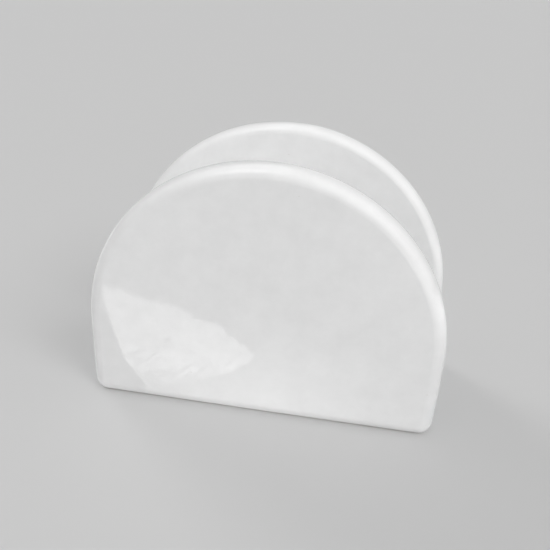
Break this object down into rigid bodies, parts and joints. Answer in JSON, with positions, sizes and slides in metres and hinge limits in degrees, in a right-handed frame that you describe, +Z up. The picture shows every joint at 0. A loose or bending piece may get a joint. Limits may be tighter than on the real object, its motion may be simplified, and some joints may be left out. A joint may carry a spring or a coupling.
{
  "type": "napkin holder",
  "caption": "Napkin holder with two upright arched panels, thick and fully rounded at the edge, joined near the table by a low floor; glossy white porcelain.",
  "frame": {"origin": "on the table, midway between the two panels and midway along the slot", "axes": "+X along the napkin slot, to the right seen from the front; -Y out of the front panel's face; +Z up"},
  "size_m": [0.13, 0.059, 0.097],
  "materials": {
    "white_glaze": "clear gloss glaze over white porcelain, wiped off the two feet"
  },
  "bodies": {
    "root": {"front_panel": "white_glaze", "rear_panel": "white_glaze", "base_floor": "white_glaze", "front_seam_fillet": "white_glaze", "rear_seam_fillet": "white_glaze"}
  },
  "joints": []
}
